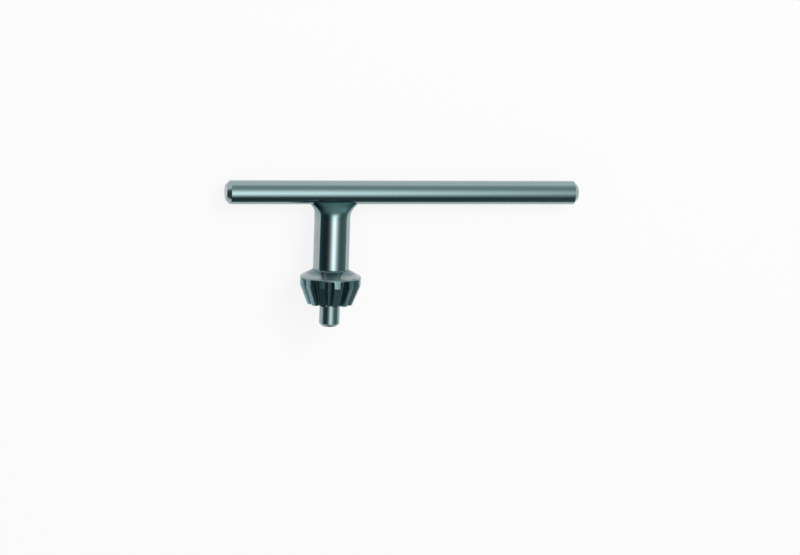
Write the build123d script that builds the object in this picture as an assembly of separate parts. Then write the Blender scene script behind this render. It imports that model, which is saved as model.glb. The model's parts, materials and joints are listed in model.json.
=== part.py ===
from build123d import *

import math
import os

# A key for a geared drill chuck, lying on a flat floor. It is two pieces of steel: a drawn round
# handle bar, and a turned key body with a saddle at one end and a bevel pinion and pilot at the other,
# welded to the bar. Lengths are in millimetres and angles in degrees. Places along the key are
# distances from the bar's axis towards the pilot.

# Handle bar
BAR_DIAMETER = 7.0
BAR_LENGTH = 106.0
BAR_END_CHAMFER = 1.2
SHORT_ARM = 31.8  # from the shank's axis to the nearer end of the bar

# Shank, and the shoulder that spreads from it to the pinion's rim
SHANK_DIAMETER = 10.6
SHANK_END = 22.7
SHANK_FILLET = 0.8

# Bevel pinion: a short cylindrical rim, then the tip cone down to the small end face
RIM_DIAMETER = 17.9
RIM_START = 24.6
RIM_LENGTH = 2.6
RIM_EDGE_CHAMFER = 0.3
TIP_CONE_HALF_ANGLE = 22.0
PINION_END = 32.9

# Tooth spaces: the widths and depth are those at the rim's end, and shrink evenly towards the pilot
TOOTH_COUNT = 12
TOOTH_PHASE = 14.0  # from the upper side of the resting key, towards the short arm, to a tooth space
SPACE_START = 25.1
SPACE_TIP_WIDTH = 3.15
SPACE_ROOT_WIDTH = 1.3
SPACE_DEPTH = 2.5
SPACE_TAPER = 0.65  # width and depth at the small end face, as a share of those at the rim's end
SPACE_FILLET = 0.45  # where flanks, floor and closed end meet

# Pilot, which turns in the hole in the side of the chuck
PILOT_DIAMETER = 6.0
PILOT_LENGTH = 6.6
PILOT_TIP_CHAMFER = 0.8

# Saddle: the shank's end draws in to the bar like a cone across it, and is coped round it. Along the
# bar the weld makes it flare out under the bar, further on the side of the longer arm.
CROWN_START = 6.5
CROWN_BLEND = 1.6  # length over which the round shank bends over into the cone
CROWN_HALF_ANGLE = 33.0
NECK_END = 1.9  # inside the bar
SHORT_SIDE_FLARE_START = 6.1
SHORT_SIDE_FLARE = 1.35  # reach past the shank at the bar's underside
LONG_SIDE_FLARE_START = 7.0
LONG_SIDE_FLARE = 2.0
NECK_SECTIONS = 7  # ovals that the flared length is drawn through
NECK_ROUND = 0.4  # still round below the flares, so that they start smoothly

BAR_RADIUS = BAR_DIAMETER / 2
LONG_ARM = BAR_LENGTH - SHORT_ARM
SHANK_RADIUS = SHANK_DIAMETER / 2
RIM_RADIUS = RIM_DIAMETER / 2
RIM_END = RIM_START + RIM_LENGTH
TIP_CONE_SLOPE = math.tan(math.radians(TIP_CONE_HALF_ANGLE))
PINION_END_RADIUS = RIM_RADIUS - (PINION_END - RIM_END) * TIP_CONE_SLOPE
PILOT_RADIUS = PILOT_DIAMETER / 2
PILOT_END = PINION_END + PILOT_LENGTH
CROWN_SLOPE = math.tan(math.radians(CROWN_HALF_ANGLE))
NECK_START = LONG_SIDE_FLARE_START + NECK_ROUND
PAST = 1.0  # how far a cutting shape runs on past the face that it opens


def handle_bar():
    """The drawn round bar along X, with both ends chamfered."""
    bar = extrude(Plane.YZ.offset(-SHORT_ARM) * Circle(BAR_RADIUS), BAR_LENGTH)
    return chamfer(bar.edges().filter_by(GeomType.CIRCLE), BAR_END_CHAMFER)


def body_blank():
    """The body as it is turned: shank, shoulder, rim, tip cone and pilot in one section."""
    outline = Polyline(
        (0, NECK_START),
        (SHANK_RADIUS, NECK_START),
        (SHANK_RADIUS, SHANK_END),
        (RIM_RADIUS, RIM_START),
        (RIM_RADIUS, RIM_END),
        (PINION_END_RADIUS, PINION_END),
        (PILOT_RADIUS, PINION_END),
        (PILOT_RADIUS, PILOT_END - PILOT_TIP_CHAMFER),
        (PILOT_RADIUS - PILOT_TIP_CHAMFER, PILOT_END),
        (0, PILOT_END),
        close=True,
    )
    section = make_face(outline)
    shank_corner = section.vertices().sort_by_distance((SHANK_RADIUS, SHANK_END))[0]
    section = fillet(shank_corner, SHANK_FILLET)
    rim_corner = section.vertices().sort_by_distance((RIM_RADIUS, RIM_START))[0]
    section = chamfer(rim_corner, RIM_EDGE_CHAMFER)
    return revolve(Plane.XZ * section, Axis.Z)


def flare(height, start, reach):
    """How far the weld stands out past the shank at one height."""
    return reach * (max(start - height, 0) / (start - BAR_RADIUS)) ** 2


def crown(height):
    """How far the shank's end has drawn in at one height."""
    above = max(CROWN_START - height, 0)
    if above < CROWN_BLEND:
        return CROWN_SLOPE * above**2 / (2 * CROWN_BLEND)
    return CROWN_SLOPE * (above - CROWN_BLEND / 2)


def neck_section(height):
    """The oval of the neck at one height: drawn in across the bar, flared out along it."""
    half_width = SHANK_RADIUS - crown(height)
    short_side = SHANK_RADIUS + flare(height, SHORT_SIDE_FLARE_START, SHORT_SIDE_FLARE)
    long_side = SHANK_RADIUS + flare(height, LONG_SIDE_FLARE_START, LONG_SIDE_FLARE)
    middle = (long_side - short_side) / 2
    return Pos(middle, 0, height) * Ellipse((short_side + long_side) / 2, half_width)


def neck():
    """The smooth end of the shank, from inside the bar down to where the shank is round."""
    step = (LONG_SIDE_FLARE_START - NECK_END) / (NECK_SECTIONS - 1)
    heights = [NECK_END + i * step for i in range(NECK_SECTIONS)]
    return loft([neck_section(height) for height in heights + [NECK_START]])


def flank_line(height):
    """Root and tip of a tooth space's flank on the +X side, where the space's middle is on Y."""
    share = 1 - (1 - SPACE_TAPER) * (height - RIM_END) / (PINION_END - RIM_END)
    tip_radius = RIM_RADIUS - (height - RIM_END) * TIP_CONE_SLOPE
    root = Vector(share * SPACE_ROOT_WIDTH / 2, tip_radius - share * SPACE_DEPTH, height)
    tip = Vector(share * SPACE_TIP_WIDTH / 2, tip_radius, height)
    return root, tip


def tooth_space():
    """One tooth space: closed under the shoulder, open at the small end face, rounded inside."""
    corners = []
    for height in (SPACE_START, PINION_END + PAST):
        root, tip = flank_line(height)
        mouth = tip + (tip - root).normalized() * PAST
        for corner in (root, mouth):
            corners += [corner, Vector(-corner.X, corner.Y, height)]
    space = ConvexPolyhedron(corners)
    small_end = space.faces().sort_by(Axis.Z)[-1]
    outer_side = max(space.faces(), key=lambda face: face.normal_at().Y)
    open_edges = small_end.edges() + outer_side.edges()
    return fillet([edge for edge in space.edges() if edge not in open_edges], SPACE_FILLET)


def key_body():
    """The turned body with its drawn-in, flared and coped end, and its milled tooth spaces."""
    body = body_blank() + neck()
    body -= extrude(Plane.YZ * Circle(BAR_RADIUS), LONG_ARM, both=True)
    space = tooth_space()
    for i in range(TOOTH_COUNT):
        body -= Rot(0, 0, TOOTH_PHASE + i * 360 / TOOTH_COUNT) * space
    return body


def resting_place():
    """How the key lies: on its crown, the edge of the pinion's rim, and the end of the longer arm.

    The first two touch the floor along the shank and set its slope. They hold the bar clear of the
    floor, so the key rolls until the longer arm's end comes down.
    """
    along = RIM_START + RIM_EDGE_CHAMFER - CROWN_START
    outwards = RIM_RADIUS - SHANK_RADIUS
    touching = math.sqrt(along**2 + 2 * CROWN_BLEND / CROWN_SLOPE * outwards) - along
    slope = math.atan(CROWN_SLOPE / CROWN_BLEND * touching)
    at_touching = SHANK_RADIUS - crown(CROWN_START - touching)
    bar_height = at_touching * math.cos(slope) - (CROWN_START - touching) * math.sin(slope)
    roll = math.asin((bar_height - BAR_RADIUS) / (LONG_ARM - BAR_END_CHAMFER))
    towards_pilot = (0, -math.cos(slope), math.sin(slope))
    level_bar = Plane((0, 0, bar_height), x_dir=(1, 0, 0), z_dir=towards_pilot)
    return Rot(0, math.degrees(roll), 0) * level_bar.location


def laid_down(pieces):
    """The pieces at rest, with the origin on the floor under the middle of what they cover."""
    lying = [resting_place() * piece for piece in pieces]
    box = Compound(lying).bounding_box()
    under_middle = Pos(-box.center().X, -box.center().Y, -box.min.Z)
    return [under_middle * piece for piece in lying]


os.makedirs("parts", exist_ok=True)
bar, body = laid_down([handle_bar(), key_body()])
export_step(bar, "parts/handle_bar.step")
export_step(body, "parts/key_body.step")
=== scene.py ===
import json
import math

import bpy
from mathutils import Matrix, Vector

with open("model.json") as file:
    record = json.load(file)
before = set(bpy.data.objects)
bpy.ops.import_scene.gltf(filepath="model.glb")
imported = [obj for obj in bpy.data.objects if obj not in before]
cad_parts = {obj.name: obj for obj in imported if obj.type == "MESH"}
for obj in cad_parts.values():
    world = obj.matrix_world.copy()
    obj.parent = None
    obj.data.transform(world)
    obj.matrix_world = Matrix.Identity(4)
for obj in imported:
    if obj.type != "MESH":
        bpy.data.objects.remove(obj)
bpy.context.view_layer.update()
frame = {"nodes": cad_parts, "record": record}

# Handle bar: a length of drawn round steel, cut off and chamfered at both ends. It runs unbroken over
# the key's body. Drawing leaves faint lines along it and an uneven polish, duller than the turned body's.
BAR_COLOURS = ((0.30, 0.385, 0.395), (0.32, 0.405, 0.415))
BAR_ROUGHNESS = (0.16, 0.21)
BAR_MARK_DEPTH = 0.000004
BAR_MARK_STRETCH = (0.03, 1.0, 1.0)
BAR_MARK_SCALE = 900.0
BAR_PATCH_SCALE = 90.0
PATCH_SPREAD = (0.3, 0.7)  # the patches' noise at which one colour ends and the other begins


def add_node(tree, kind, inputs=(), **settings):
    """A node with its settings and the values of some of its inputs."""
    node = tree.nodes.new(kind)
    for name, value in settings.items():
        setattr(node, name, value)
    for key, value in dict(inputs).items():
        node.inputs[key].default_value = value
    return node


def tool_marks_group():
    """Group: marks across the flow of a vector, as a height, and patches of duller polish."""
    group = bpy.data.node_groups.new("tool marks", "ShaderNodeTree")
    face = group.interface
    face.new_socket("Place", in_out="INPUT", socket_type="NodeSocketVector")
    face.new_socket("Mark Scale", in_out="INPUT", socket_type="NodeSocketFloat")
    face.new_socket("Patch Scale", in_out="INPUT", socket_type="NodeSocketFloat")
    face.new_socket("Marks", in_out="OUTPUT", socket_type="NodeSocketFloat")
    face.new_socket("Patches", in_out="OUTPUT", socket_type="NodeSocketFloat")
    enter = group.nodes.new("NodeGroupInput")
    leave = group.nodes.new("NodeGroupOutput")
    marks = add_node(group, "ShaderNodeTexNoise", {"Detail": 3.0, "Roughness": 0.6})
    patches = add_node(group, "ShaderNodeTexNoise", {"Detail": 2.0, "Roughness": 0.5})
    group.links.new(enter.outputs["Place"], marks.inputs["Vector"])
    group.links.new(enter.outputs["Mark Scale"], marks.inputs["Scale"])
    group.links.new(enter.outputs["Place"], patches.inputs["Vector"])
    group.links.new(enter.outputs["Patch Scale"], patches.inputs["Scale"])
    group.links.new(marks.outputs["Fac"], leave.inputs["Marks"])
    group.links.new(patches.outputs["Fac"], leave.inputs["Patches"])
    return group


tool_marks = tool_marks_group()


def steel(name, colours, roughness, mark_depth, mark_scale, patch_scale):
    """Steel with tool marks; the piece wires the place of its marks."""
    material = bpy.data.materials.new(name)
    material.use_nodes = True
    tree = material.node_tree
    shader = tree.nodes["Principled BSDF"]
    shader.inputs["Metallic"].default_value = 1.0
    marks = add_node(tree, "ShaderNodeGroup", node_tree=tool_marks)
    marks.inputs["Mark Scale"].default_value = mark_scale
    marks.inputs["Patch Scale"].default_value = patch_scale
    tint = tree.nodes.new("ShaderNodeValToRGB")
    for element, position, colour in zip(tint.color_ramp.elements, PATCH_SPREAD, colours):
        element.position = position
        element.color = (*colour, 1)
    polish = add_node(tree, "ShaderNodeMapRange", {"To Min": roughness[0], "To Max": roughness[1]})
    bump = add_node(tree, "ShaderNodeBump", {"Strength": 1.0, "Distance": mark_depth})
    tree.links.new(marks.outputs["Patches"], tint.inputs["Fac"])
    tree.links.new(tint.outputs["Color"], shader.inputs["Base Color"])
    tree.links.new(marks.outputs["Patches"], polish.inputs["Value"])
    tree.links.new(polish.outputs["Result"], shader.inputs["Roughness"])
    tree.links.new(marks.outputs["Marks"], bump.inputs["Height"])
    tree.links.new(bump.outputs["Normal"], shader.inputs["Normal"])
    return tree, marks, tint, polish, shader


def dress(node_name, material_name):
    """Puts the material on a CAD node's own slots."""
    for slot in frame["nodes"][node_name].material_slots:
        slot.material = bpy.data.materials[material_name]


bar_tree, bar_marks, *_ = steel(
    "drawn steel", BAR_COLOURS, BAR_ROUGHNESS, BAR_MARK_DEPTH, BAR_MARK_SCALE, BAR_PATCH_SCALE
)
bar_place = bar_tree.nodes.new("ShaderNodeTexCoord")
bar_stretch = add_node(bar_tree, "ShaderNodeMapping", {"Scale": BAR_MARK_STRETCH})
bar_tree.links.new(bar_place.outputs["Object"], bar_stretch.inputs["Vector"])
bar_tree.links.new(bar_stretch.outputs["Vector"], bar_marks.inputs["Place"])
dress("handle_bar", "drawn steel")

# Key body: turned from one bar of steel, its teeth milled, and its coped end welded to the handle bar.
# Its colour is darker and blue-green towards the bar, with a painted shadow black at the seam, and darker
# in the corner under the shank. Turning marks run round it. The teeth are less polished, and their spaces
# are painted with shade, darkest deep inside.
BAR_TO_PILOT_MIDDLE = 0.0358
BODY_COLOURS = ((0.32, 0.38, 0.385), (0.36, 0.42, 0.425))
BODY_ROUGHNESS = (0.0, 0.04)  # added to the roughness that it was turned or ground to
BODY_MARK_DEPTH = 0.000004
BODY_MARK_STRETCH = (0.08, 0.08, 1.0)
BODY_MARK_SCALE = 900.0
BODY_PATCH_SCALE = 90.0
SPACES_TOP = -0.0251  # heights from the bar's axis, in metres, as the next two are
RIM_END = -0.0272
SPACES_END = -0.0328
RIM_RADIUS = 0.00895
TIP_CONE_SLOPE = math.tan(math.radians(22.0))
# Painted shade inside the tooth spaces: where it starts and is darkest, and its colour.
SPACE_SHADE_DEPTHS = (0.00005, 0.0009)  # in from the tip cone: where it darkens, where it is darkest
SPACE_SHADE_COLOUR = (0.16, 0.25, 0.28, 1)
KEY_REACH = 0.04  # from the bar's axis to just past the pilot's tip
ACROSS = (1, 1, 0)
STEEL_TINT_AND_SHADE = (
    # metres below the bar's axis, what the steel's colour is multiplied by there
    # painted shadow: black at the seam under the bar
    (0.0024, (0.06, 0.11, 0.13)),
    # darker and blue-green towards the bar
    (0.0030, (0.42, 0.62, 0.66)),
    (0.0052, (0.66, 0.86, 0.88)),
    (0.0082, (1.0, 1.0, 1.0)),
    (0.0221, (1.0, 1.0, 1.0)),
    # darker in the corner under the shank
    (0.0227, (0.34, 0.46, 0.50)),
    (0.0234, (0.40, 0.52, 0.56)),
    (0.0241, (1.0, 1.0, 1.0)),
    (0.0247, (1.0, 1.0, 1.0)),
    (0.0252, (0.72, 0.94, 0.97)),
    (0.0329, (0.72, 0.94, 0.97)),
    (0.0331, (0.92, 1.0, 1.0)),
)
TURNED_ROUGHNESS = (
    # metres below the bar's axis, roughness as it was turned or ground there
    (0.0221, 0.09),
    (0.0245, 0.18),
    (0.0249, 0.38),
    (0.0329, 0.38),
    (0.0331, 0.27),
)

# Upright is the key held with its bar level on top, its face to the viewer and its pilot down. The
# pilot's mount gives the direction of the shank, and the bar lies square to it.
pilot = next(mount for mount in frame["record"]["mounts"] if mount["name"] == "pilot")
down_the_key = Vector(pilot["axis"]).normalized()
along_the_bar = Vector((0, 1, 0)).cross(down_the_key).normalized()
away_from_viewer = along_the_bar.cross(down_the_key)
upright = Matrix((along_the_bar, away_from_viewer, -down_the_key)).transposed().to_4x4()
upright.translation = Vector(pilot["pos_m"]) - BAR_TO_PILOT_MIDDLE * down_the_key


def space_shade_group():
    """Group: how deep a place lies in a tooth space, from 0 on the tip cone to 1 well inside: the share
    of painted shade there.
    """
    group = bpy.data.node_groups.new("tooth space shade", "ShaderNodeTree")
    group.interface.new_socket("Place", in_out="INPUT", socket_type="NodeSocketVector")
    group.interface.new_socket("Space Shade", in_out="OUTPUT", socket_type="NodeSocketFloat")
    enter = group.nodes.new("NodeGroupInput")
    leave = group.nodes.new("NodeGroupOutput")
    height = group.nodes.new("ShaderNodeSeparateXYZ")
    across = add_node(group, "ShaderNodeVectorMath", {1: ACROSS}, operation="MULTIPLY")
    radius = add_node(group, "ShaderNodeVectorMath", operation="LENGTH")
    tip = add_node(
        group,
        "ShaderNodeMapRange",
        {
            "From Min": SPACES_END,
            "From Max": RIM_END,
            "To Min": RIM_RADIUS - (RIM_END - SPACES_END) * TIP_CONE_SLOPE,
            "To Max": RIM_RADIUS,
        },
    )
    depth = add_node(group, "ShaderNodeMath", operation="SUBTRACT")
    shallow, deep = SPACE_SHADE_DEPTHS
    depth_share = add_node(group, "ShaderNodeMapRange", {"From Min": shallow, "From Max": deep})
    below_top = add_node(group, "ShaderNodeMath", {1: SPACES_TOP}, operation="LESS_THAN")
    above_end = add_node(group, "ShaderNodeMath", {1: SPACES_END}, operation="GREATER_THAN")
    among_teeth = add_node(group, "ShaderNodeMath", operation="MULTIPLY")
    shade_amount = add_node(group, "ShaderNodeMath", operation="MULTIPLY")
    group.links.new(enter.outputs["Place"], height.inputs["Vector"])
    group.links.new(enter.outputs["Place"], across.inputs[0])
    group.links.new(across.outputs["Vector"], radius.inputs[0])
    group.links.new(height.outputs["Z"], tip.inputs["Value"])
    group.links.new(tip.outputs["Result"], depth.inputs[0])
    group.links.new(radius.outputs["Value"], depth.inputs[1])
    group.links.new(depth.outputs[0], depth_share.inputs["Value"])
    group.links.new(height.outputs["Z"], below_top.inputs[0])
    group.links.new(height.outputs["Z"], above_end.inputs[0])
    group.links.new(below_top.outputs[0], among_teeth.inputs[0])
    group.links.new(above_end.outputs[0], among_teeth.inputs[1])
    group.links.new(depth_share.outputs["Result"], shade_amount.inputs[0])
    group.links.new(among_teeth.outputs[0], shade_amount.inputs[1])
    group.links.new(shade_amount.outputs[0], leave.inputs["Space Shade"])
    return group


def along_the_key(tree, height, stops):
    """A ramp of colours by the distance below the bar's axis."""
    ramp = tree.nodes.new("ShaderNodeValToRGB")
    ramp.color_ramp.elements.remove(ramp.color_ramp.elements[1])
    ramp.color_ramp.elements[0].position = stops[0][0] / KEY_REACH
    for below, _ in stops[1:]:
        ramp.color_ramp.elements.new(below / KEY_REACH)
    for element, (_, colour) in zip(ramp.color_ramp.elements, stops):
        element.color = (*colour, 1)
    tree.links.new(height, ramp.inputs["Fac"])
    return ramp.outputs["Color"]


body_tree, body_marks, body_tint, body_polish, body_shader = steel(
    "turned steel", BODY_COLOURS, BODY_ROUGHNESS, BODY_MARK_DEPTH, BODY_MARK_SCALE, BODY_PATCH_SCALE
)
body_place = body_tree.nodes.new("ShaderNodeTexCoord")
body_turn = add_node(
    body_tree,
    "ShaderNodeMapping",
    {"Location": upright.translation, "Rotation": upright.to_euler()},
    vector_type="TEXTURE",
)
body_stretch = add_node(body_tree, "ShaderNodeMapping", {"Scale": BODY_MARK_STRETCH})
body_tree.links.new(body_place.outputs["Object"], body_turn.inputs["Vector"])
body_tree.links.new(body_turn.outputs["Vector"], body_stretch.inputs["Vector"])
body_tree.links.new(body_stretch.outputs["Vector"], body_marks.inputs["Place"])

body_place_parts = body_tree.nodes.new("ShaderNodeSeparateXYZ")
body_below_bar = add_node(body_tree, "ShaderNodeMapRange", {"From Min": 0, "From Max": -KEY_REACH})
body_tree.links.new(body_turn.outputs["Vector"], body_place_parts.inputs["Vector"])
body_tree.links.new(body_place_parts.outputs["Z"], body_below_bar.inputs["Value"])
# Tones along the key, with a painted shadow at the seam under the bar.
steel_tint_and_shade = along_the_key(body_tree, body_below_bar.outputs["Result"], STEEL_TINT_AND_SHADE)
turned_gloss = along_the_key(
    body_tree,
    body_below_bar.outputs["Result"],
    [(below, (roughness,) * 3) for below, roughness in TURNED_ROUGHNESS],
)

COLOUR_A, COLOUR_B, COLOUR_RESULT = 6, 7, 2  # the colour sockets of a Mix node
# The patches' colour times the tones and painted shadow along the key; painted shade then darkens the
# tooth spaces towards their depth.
body_tint_and_shade = add_node(body_tree, "ShaderNodeVectorMath", operation="MULTIPLY")
body_space_shade = add_node(body_tree, "ShaderNodeGroup", node_tree=space_shade_group())
body_colour = add_node(body_tree, "ShaderNodeMix", data_type="RGBA")
body_colour.inputs[COLOUR_B].default_value = SPACE_SHADE_COLOUR
body_tree.links.new(body_tint.outputs["Color"], body_tint_and_shade.inputs[0])
body_tree.links.new(steel_tint_and_shade, body_tint_and_shade.inputs[1])
body_tree.links.new(body_turn.outputs["Vector"], body_space_shade.inputs["Place"])
body_tree.links.new(body_space_shade.outputs["Space Shade"], body_colour.inputs["Factor"])
body_tree.links.new(body_tint_and_shade.outputs["Vector"], body_colour.inputs[COLOUR_A])
body_tree.links.new(body_colour.outputs[COLOUR_RESULT], body_shader.inputs["Base Color"])

body_gloss = add_node(body_tree, "ShaderNodeMath", operation="ADD")
body_tree.links.new(turned_gloss, body_gloss.inputs[0])
body_tree.links.new(body_polish.outputs["Result"], body_gloss.inputs[1])
body_tree.links.new(body_gloss.outputs[0], body_shader.inputs["Roughness"])
dress("key_body", "turned steel")

# Floor: a plain white sheet under the key. What the camera and the steel see of it is mostly its own
# white, so that it stays white under soft light and still keeps the key's faint shadow.
FLOOR_SIZE = 6.0
FLOOR_COLOUR = (0.9, 0.9, 0.9, 1)
FLOOR_WHITE = (1, 1, 1, 1)
FLOOR_WHITE_SHARE = 0.85

bpy.ops.mesh.primitive_plane_add(size=FLOOR_SIZE)
floor = bpy.context.object
floor.name = "floor"

floor_paper = bpy.data.materials.new("white floor")
floor_paper.use_nodes = True
paper = floor_paper.node_tree
paper.nodes.clear()
lit = add_node(paper, "ShaderNodeBsdfDiffuse", {"Color": FLOOR_COLOUR})
own_white = add_node(paper, "ShaderNodeEmission", {"Color": FLOOR_WHITE})
rays = paper.nodes.new("ShaderNodeLightPath")
seen = add_node(paper, "ShaderNodeMath", operation="ADD")
seen_or_through = add_node(paper, "ShaderNodeMath", operation="ADD", use_clamp=True)
share = add_node(paper, "ShaderNodeMath", {1: FLOOR_WHITE_SHARE}, operation="MULTIPLY")
blend = paper.nodes.new("ShaderNodeMixShader")
paper_out = paper.nodes.new("ShaderNodeOutputMaterial")
paper.links.new(rays.outputs["Is Camera Ray"], seen.inputs[0])
paper.links.new(rays.outputs["Is Glossy Ray"], seen.inputs[1])
paper.links.new(seen.outputs[0], seen_or_through.inputs[0])
paper.links.new(rays.outputs["Is Transmission Ray"], seen_or_through.inputs[1])
paper.links.new(seen_or_through.outputs[0], share.inputs[0])
paper.links.new(share.outputs[0], blend.inputs["Fac"])
paper.links.new(lit.outputs["BSDF"], blend.inputs[1])
paper.links.new(own_white.outputs["Emission"], blend.inputs[2])
paper.links.new(blend.outputs["Shader"], paper_out.inputs["Surface"])
floor.data.materials.append(floor_paper)

# Tent: what the polished steel mirrors above the floor. It is a ball round the stage, painted inside with
# soft panels on a dark blue-green ground, and only reflections see it. Its panels are named by where
# they stand for someone who faces the upright key.
TENT_RADIUS = 0.5
TENT_SEGMENTS = 64
TENT_RINGS = 32
TENT_GROUND = (0.0003, 0.006, 0.011, 1)
TENT_PANELS = (
    # degrees to the right of the viewer, degrees above, sharpness, colour
    ("front light above", 5, 13, 13.0, (0.79, 0.88, 0.86)),
    ("front light below", 6, -6, 13.0, (0.76, 0.86, 0.85)),
    ("front strip", 2, -10, 30.0, (1.35, 1.45, 1.43)),
    ("top light", 90, 78, 2.6, (0.49, 0.64, 0.64)),
    ("low light", 148, -64, 12.0, (0.15, 0.22, 0.22)),
    ("right wall", 100, -10, 2.5, (0.13, 0.235, 0.23)),
    ("left wall", -98, -10, 8.0, (0.02, 0.08, 0.095)),
    ("left window", -72, 40, 22.0, (0.50, 0.60, 0.60)),
    ("right window", 80, 38, 24.0, (0.65, 0.75, 0.75)),
)


def tent_panel_group():
    """Group: the glow of one soft panel, from the direction in which the tent is seen."""
    group = bpy.data.node_groups.new("tent panel", "ShaderNodeTree")
    face = group.interface
    face.new_socket("Direction", in_out="INPUT", socket_type="NodeSocketVector")
    face.new_socket("Towards", in_out="INPUT", socket_type="NodeSocketVector")
    face.new_socket("Sharpness", in_out="INPUT", socket_type="NodeSocketFloat")
    face.new_socket("Glow", in_out="OUTPUT", socket_type="NodeSocketFloat")
    enter = group.nodes.new("NodeGroupInput")
    leave = group.nodes.new("NodeGroupOutput")
    agree = add_node(group, "ShaderNodeVectorMath", operation="DOT_PRODUCT")
    less = add_node(group, "ShaderNodeMath", {1: 1.0}, operation="SUBTRACT")
    steep = add_node(group, "ShaderNodeMath", operation="MULTIPLY")
    glow = add_node(group, "ShaderNodeMath", operation="EXPONENT")
    group.links.new(enter.outputs["Direction"], agree.inputs[0])
    group.links.new(enter.outputs["Towards"], agree.inputs[1])
    group.links.new(agree.outputs["Value"], less.inputs[0])
    group.links.new(less.outputs[0], steep.inputs[0])
    group.links.new(enter.outputs["Sharpness"], steep.inputs[1])
    group.links.new(steep.outputs[0], glow.inputs[0])
    group.links.new(glow.outputs[0], leave.inputs["Glow"])
    return group


def facing(right, above):
    """Upright direction, in degrees to the right of the viewer and above them."""
    turn, rise = math.radians(right), math.radians(above)
    return Vector(
        (math.sin(turn) * math.cos(rise), -math.cos(turn) * math.cos(rise), math.sin(rise))
    )


def only_mirrored(piece):
    """Only reflections see the piece: it keeps no light from the floor and casts no shadow."""
    piece.visible_camera = False
    piece.visible_diffuse = False
    piece.visible_transmission = False
    piece.visible_shadow = False


bpy.ops.mesh.primitive_uv_sphere_add(
    segments=TENT_SEGMENTS, ring_count=TENT_RINGS, radius=TENT_RADIUS
)
tent = bpy.context.object
tent.name = "tent"
tent.matrix_world = upright
only_mirrored(tent)

tent_cloth = bpy.data.materials.new("tent cloth")
tent_cloth.use_nodes = True
cloth = tent_cloth.node_tree
cloth.nodes.clear()
tent_place = cloth.nodes.new("ShaderNodeTexCoord")
tent_direction = add_node(cloth, "ShaderNodeVectorMath", operation="NORMALIZE")
cloth.links.new(tent_place.outputs["Object"], tent_direction.inputs[0])
tent_panel = tent_panel_group()
tent_ground = cloth.nodes.new("ShaderNodeRGB")
tent_ground.outputs[0].default_value = TENT_GROUND
total = tent_ground.outputs[0]
for panel_name, right, above, sharpness, colour in TENT_PANELS:
    panel = add_node(cloth, "ShaderNodeGroup", node_tree=tent_panel, label=panel_name)
    panel.inputs["Towards"].default_value = facing(right, above)
    panel.inputs["Sharpness"].default_value = sharpness
    cloth.links.new(tent_direction.outputs[0], panel.inputs["Direction"])
    lit_panel = add_node(cloth, "ShaderNodeVectorMath", {1: colour}, operation="MULTIPLY_ADD")
    cloth.links.new(panel.outputs["Glow"], lit_panel.inputs[0])
    cloth.links.new(total, lit_panel.inputs[2])
    total = lit_panel.outputs[0]
tent_glow = cloth.nodes.new("ShaderNodeEmission")
tent_out = cloth.nodes.new("ShaderNodeOutputMaterial")
cloth.links.new(total, tent_glow.inputs["Color"])
cloth.links.new(tent_glow.outputs["Emission"], tent_out.inputs["Surface"])
tent.data.materials.append(tent_cloth)

# Light: a plain pale sky lights the floor, and a soft box over the key, a little towards its bar, draws
# a faint shadow on it. The steel doesn't mirror the soft box: the tent's panels are its lights.
SKY_COLOUR = (0.55, 0.57, 0.57, 1)
BOX_POWER = 4.0
BOX_SIZE = 0.5
BOX_DISTANCE = 0.9
BOX_TOWARDS = Vector((0.35, -0.9, 0.45))

sky = bpy.data.worlds.new("pale sky")
sky.use_nodes = True
sky.node_tree.nodes["Background"].inputs["Color"].default_value = SKY_COLOUR
bpy.context.scene.world = sky

box_light = bpy.data.lights.new("soft box", "AREA")
box_light.size = BOX_SIZE
box_light.energy = BOX_POWER
soft_box = bpy.data.objects.new("soft box", box_light)
bpy.context.scene.collection.objects.link(soft_box)
box_direction = upright.to_3x3() @ BOX_TOWARDS.normalized()
soft_box.location = upright.translation + box_direction * BOX_DISTANCE
soft_box.rotation_euler = box_direction.to_track_quat("Z", "Y").to_euler()
soft_box.visible_glossy = False

# Camera: the photograph's, a little to the left of the upright key and a little above it. Its angles are
# degrees round a target below the middle of the bar, which puts the key at its place in the picture.
CAMERA_RIGHT = -14.14
CAMERA_ABOVE = 9.11
CAMERA_ROLL = 1.95
CAMERA_DISTANCE = 0.900
CAMERA_LENS = 137.5
CAMERA_TARGET = Vector((0.02096, 0, -0.02527))

camera_data = bpy.data.cameras.new("camera")
camera_data.lens = CAMERA_LENS
camera = bpy.data.objects.new("camera", camera_data)
bpy.context.scene.collection.objects.link(camera)
look = (
    Matrix.Rotation(math.radians(CAMERA_RIGHT), 4, "Z")
    @ Matrix.Rotation(math.radians(90 - CAMERA_ABOVE), 4, "X")
    @ Matrix.Rotation(math.radians(CAMERA_ROLL), 4, "Z")
)
back = look.to_3x3() @ Vector((0, 0, 1))
look.translation = CAMERA_TARGET + CAMERA_DISTANCE * back
camera.matrix_world = upright @ look
bpy.context.scene.camera = camera
bpy.context.scene.view_settings.view_transform = "Standard"
